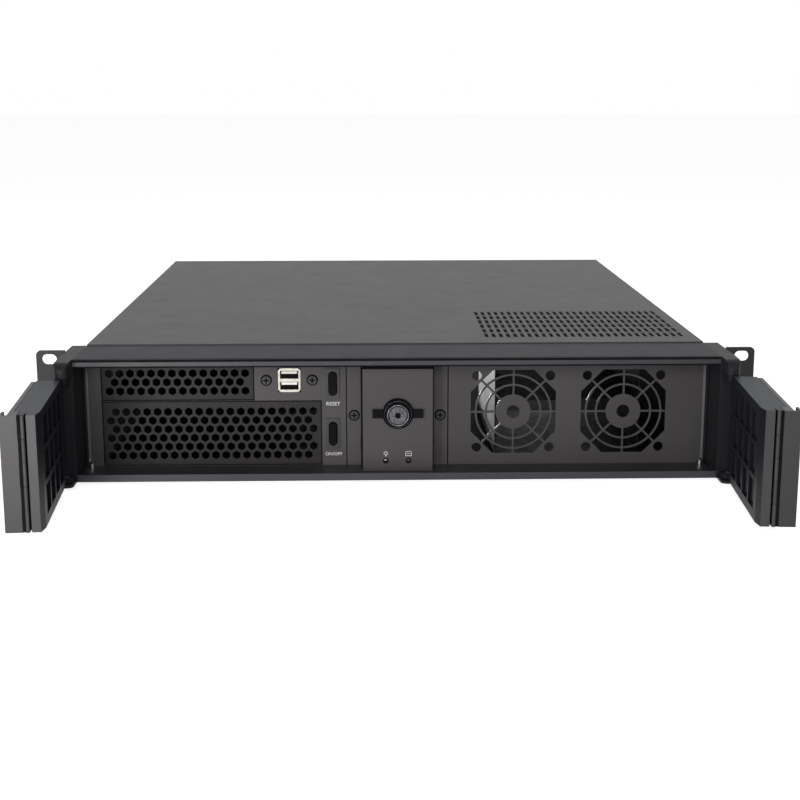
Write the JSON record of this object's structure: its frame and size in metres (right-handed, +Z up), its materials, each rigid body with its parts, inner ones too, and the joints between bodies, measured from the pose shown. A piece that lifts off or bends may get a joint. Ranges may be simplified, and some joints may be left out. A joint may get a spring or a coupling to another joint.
{
  "type": "rackmount server case",
  "caption": "Empty two-unit rackmount server case with folding front doors, perforated drive bay covers, stamped fan grilles, lock knob and rack ears.",
  "frame": {"origin": "middle of the four rack screw slots, on the front face of the rack ears", "axes": "+X to the right seen from the front, +Y to the rear, +Z up"},
  "size_m": [0.4826, 0.6472, 0.0882],
  "materials": {
    "black_plastic": "moulded",
    "black_screw": "black oxide",
    "bright_steel": "plated",
    "case_coat": "fine textured powder coat, dark grey",
    "door_coat": "satin coat, dark grey",
    "filter_mesh": "fine dust mesh",
    "galvanised": "bright zinc coat",
    "light_lens": "clear over dark",
    "plate_coat": "satin powder coat, dark grey",
    "standoff_brass": "plain",
    "usb_insert": "moulded",
    "usb_metal": "bright plate"
  },
  "bodies": {
    "case": {"board_standoffs": "standoff_brass", "bottom_rail": "case_coat", "chassis_base": "case_coat", "cover_vents": "case_coat", "cross_bar": "galvanised", "disk_cage": "galvanised", "drive_cage": "galvanised", "front_hood": "case_coat", "front_plate": "plate_coat", "front_screws": "black_screw", "indicator_lights": "light_lens", "large_bay_cover": "plate_coat", "left_cheek": "case_coat", "left_fan_grille": "plate_coat", "left_hinge_pins": "bright_steel", "left_rack_ear": "case_coat", "lock_box": "plate_coat", "power_housing": "black_plastic", "power_supply_rail": "galvanised", "rail_screws": "bright_steel", "rear_panel": "galvanised", "rear_vents": "galvanised", "reset_housing": "black_plastic", "right_cheek": "case_coat", "right_fan_grille": "plate_coat", "right_hinge_pins": "bright_steel", "right_rack_ear": "case_coat", "side_screws": "black_screw", "slot_covers": "galvanised", "small_bay_cover": "plate_coat", "top_cover": "case_coat", "usb_bracket": "galvanised", "usb_shell": "usb_metal", "usb_tongues": "usb_insert"},
    "left_door": {"left_door_leaf": "door_coat", "left_door_filter": "filter_mesh"},
    "right_door": {"right_door_leaf": "door_coat", "right_door_filter": "filter_mesh"},
    "left_fold": {"left_fold_leaf": "door_coat", "left_fold_pin": "bright_steel"},
    "right_fold": {"right_fold_leaf": "door_coat", "right_fold_pin": "bright_steel"},
    "lock": {"lock_knob": "black_plastic", "lock_cylinder": "bright_steel"},
    "reset": {"reset_button": "black_plastic"},
    "power": {"power_button": "black_plastic"}
  },
  "joints": [
    {"name": "left_door_hinge", "type": "hinge", "parent": "case", "child": "left_door", "pos_m": [-0.217, -0.0365, -0.00205], "axis": [0, 0, 1], "range_deg": [-4.3, 85.7]},
    {"name": "right_door_hinge", "type": "hinge", "parent": "case", "child": "right_door", "pos_m": [0.217, -0.0365, -0.00205], "axis": [0, 0, -1], "range_deg": [-4.3, 85.7]},
    {"name": "left_fold_hinge", "type": "hinge", "parent": "left_door", "child": "left_fold", "pos_m": [-0.21798, -0.14488, -0.00205], "axis": [0, 0, 1], "range_deg": [0, 180]},
    {"name": "right_fold_hinge", "type": "hinge", "parent": "right_door", "child": "right_fold", "pos_m": [0.21798, -0.14488, -0.00205], "axis": [0, 0, -1], "range_deg": [0, 180]},
    {"name": "lock_turn", "type": "hinge", "parent": "case", "child": "lock", "pos_m": [0, -0.011, 0.00245], "axis": [0, 1, 0], "range_deg": [0, 90]},
    {"name": "reset_press", "type": "slide", "parent": "case", "child": "reset", "axis": [0, 1, 0], "range_m": [0, 0.0015], "stiffness_N_per_m": 400},
    {"name": "power_press", "type": "slide", "parent": "case", "child": "power", "axis": [0, 1, 0], "range_m": [0, 0.0015], "stiffness_N_per_m": 400}
  ]
}
